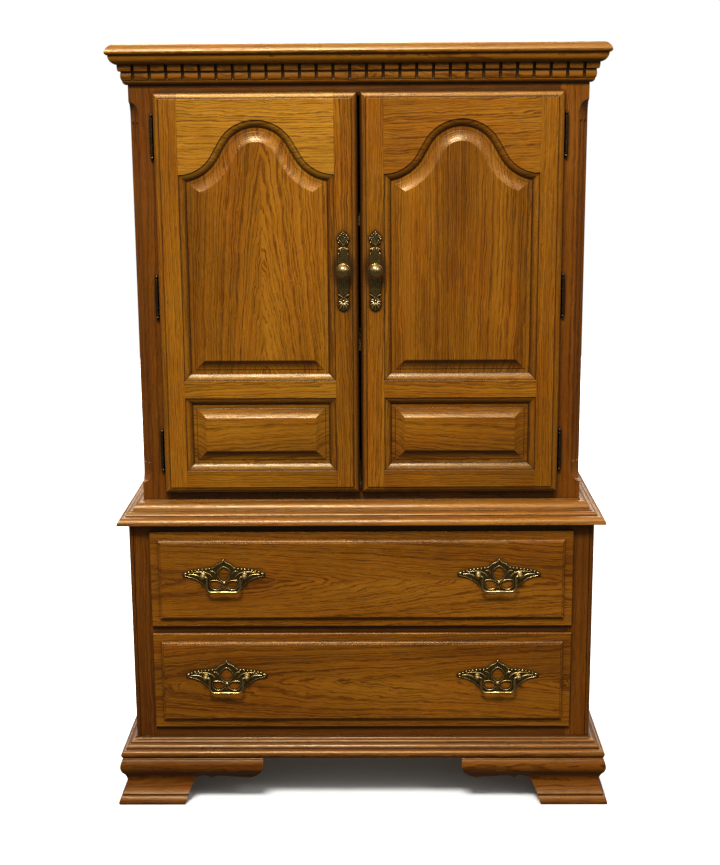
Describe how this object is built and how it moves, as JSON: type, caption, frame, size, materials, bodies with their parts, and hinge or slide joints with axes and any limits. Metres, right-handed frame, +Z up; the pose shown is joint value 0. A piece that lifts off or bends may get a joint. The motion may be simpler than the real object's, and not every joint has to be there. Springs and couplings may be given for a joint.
{
  "type": "armoire",
  "caption": "Tall oak armoire: a cupboard with paired arched raised-panel doors under a dentil crown, on a base of full-width drawers with bracket feet.",
  "frame": {"origin": "on the floor, under the middle of the piece's width and depth", "axes": "+X to the right as a person facing the doors sees it, +Y from the doors to the back, +Z up"},
  "size_m": [1.04, 0.4824, 1.575],
  "materials": {
    "case_oak": "satin lacquer over a reddish brown stain",
    "moulding_oak": "satin lacquer over a golden brown stain",
    "foot_oak": "satin lacquer over a golden brown stain",
    "door_oak": "satin lacquer over a golden brown stain",
    "drawer_oak": "satin lacquer over a golden brown stain",
    "inner_oak": "thin sealer",
    "drawer_wood": "thin sealer",
    "ply": "bare, thin sealer on the inner face",
    "pull_brass": "antiqued, dark patina in the hollows",
    "hinge_bronze": "dark bronze, satin",
    "pin_steel": "plated",
    "catch_plastic": "brown, matt"
  },
  "bodies": {
    "cabinet": {"adjustable_shelves": "inner_oak", "base_moulding": "moulding_oak", "corner_posts": "case_oak", "crown_ovolo_moulding": "moulding_oak", "crown_top_board": "moulding_oak", "dentil_moulding": "moulding_oak", "drawer_runners": "drawer_wood", "front_left_foot": "foot_oak", "front_right_foot": "foot_oak", "hinge_frame_leaves": "hinge_bronze", "hinge_pins": "hinge_bronze", "lower_back_panel": "ply", "lower_case_floor": "inner_oak", "lower_case_top": "inner_oak", "lower_face_rails": "case_oak", "lower_sides": "case_oak", "lower_stiles": "case_oak", "magnet_catches": "catch_plastic", "rear_feet": "foot_oak", "shelf_pins": "pin_steel", "upper_back_panel": "ply", "upper_case_floor": "inner_oak", "upper_case_top": "inner_oak", "upper_face_rails": "case_oak", "upper_sides": "case_oak", "waist_moulding": "moulding_oak"},
    "left_door": {"left_door_bottom_rail": "door_oak", "left_door_hinge_leaves": "hinge_bronze", "left_door_hinge_stile": "door_oak", "left_door_knob": "pull_brass", "left_door_lock_stile": "door_oak", "left_door_lower_panel": "door_oak", "left_door_middle_rail": "door_oak", "left_door_pull_plate": "pull_brass", "left_door_top_rail": "door_oak", "left_door_upper_panel": "door_oak"},
    "lower_drawer": {"lower_drawer_bottom": "ply", "lower_drawer_front": "drawer_oak", "lower_drawer_pull_plates": "pull_brass", "lower_drawer_pull_posts": "pull_brass", "lower_drawer_walls": "drawer_wood"},
    "lower_drawer_left_bail": {"lower_drawer_left_bail": "pull_brass"},
    "lower_drawer_right_bail": {"lower_drawer_right_bail": "pull_brass"},
    "right_door": {"right_door_bottom_rail": "door_oak", "right_door_hinge_leaves": "hinge_bronze", "right_door_hinge_stile": "door_oak", "right_door_knob": "pull_brass", "right_door_lock_stile": "door_oak", "right_door_lower_panel": "door_oak", "right_door_middle_rail": "door_oak", "right_door_pull_plate": "pull_brass", "right_door_top_rail": "door_oak", "right_door_upper_panel": "door_oak"},
    "upper_drawer": {"upper_drawer_bottom": "ply", "upper_drawer_front": "drawer_oak", "upper_drawer_pull_plates": "pull_brass", "upper_drawer_pull_posts": "pull_brass", "upper_drawer_walls": "drawer_wood"},
    "upper_drawer_left_bail": {"upper_drawer_left_bail": "pull_brass"},
    "upper_drawer_right_bail": {"upper_drawer_right_bail": "pull_brass"}
  },
  "joints": [
    {"name": "left_door_hinge", "type": "hinge", "parent": "cabinet", "child": "left_door", "pos_m": [-0.4085, -0.17795, 1.079], "axis": [0, 0, -1], "range_deg": [0, 115]},
    {"name": "right_door_hinge", "type": "hinge", "parent": "cabinet", "child": "right_door", "pos_m": [0.4085, -0.17795, 1.079], "axis": [0, 0, 1], "range_deg": [0, 115]},
    {"name": "lower_drawer_slide", "type": "slide", "parent": "cabinet", "child": "lower_drawer", "axis": [0, -1, 0], "range_m": [0, 0.34]},
    {"name": "upper_drawer_slide", "type": "slide", "parent": "cabinet", "child": "upper_drawer", "axis": [0, -1, 0], "range_m": [0, 0.34]},
    {"name": "lower_drawer_left_bail_swing", "type": "hinge", "parent": "lower_drawer", "child": "lower_drawer_left_bail", "pos_m": [-0.285, -0.23075, 0.2825], "axis": [-1, 0, 0], "range_deg": [0, 80]},
    {"name": "lower_drawer_right_bail_swing", "type": "hinge", "parent": "lower_drawer", "child": "lower_drawer_right_bail", "pos_m": [0.285, -0.23075, 0.2825], "axis": [-1, 0, 0], "range_deg": [0, 80]},
    {"name": "upper_drawer_left_bail_swing", "type": "hinge", "parent": "upper_drawer", "child": "upper_drawer_left_bail", "pos_m": [-0.285, -0.23075, 0.5045], "axis": [-1, 0, 0], "range_deg": [0, 80]},
    {"name": "upper_drawer_right_bail_swing", "type": "hinge", "parent": "upper_drawer", "child": "upper_drawer_right_bail", "pos_m": [0.285, -0.23075, 0.5045], "axis": [-1, 0, 0], "range_deg": [0, 80]}
  ]
}
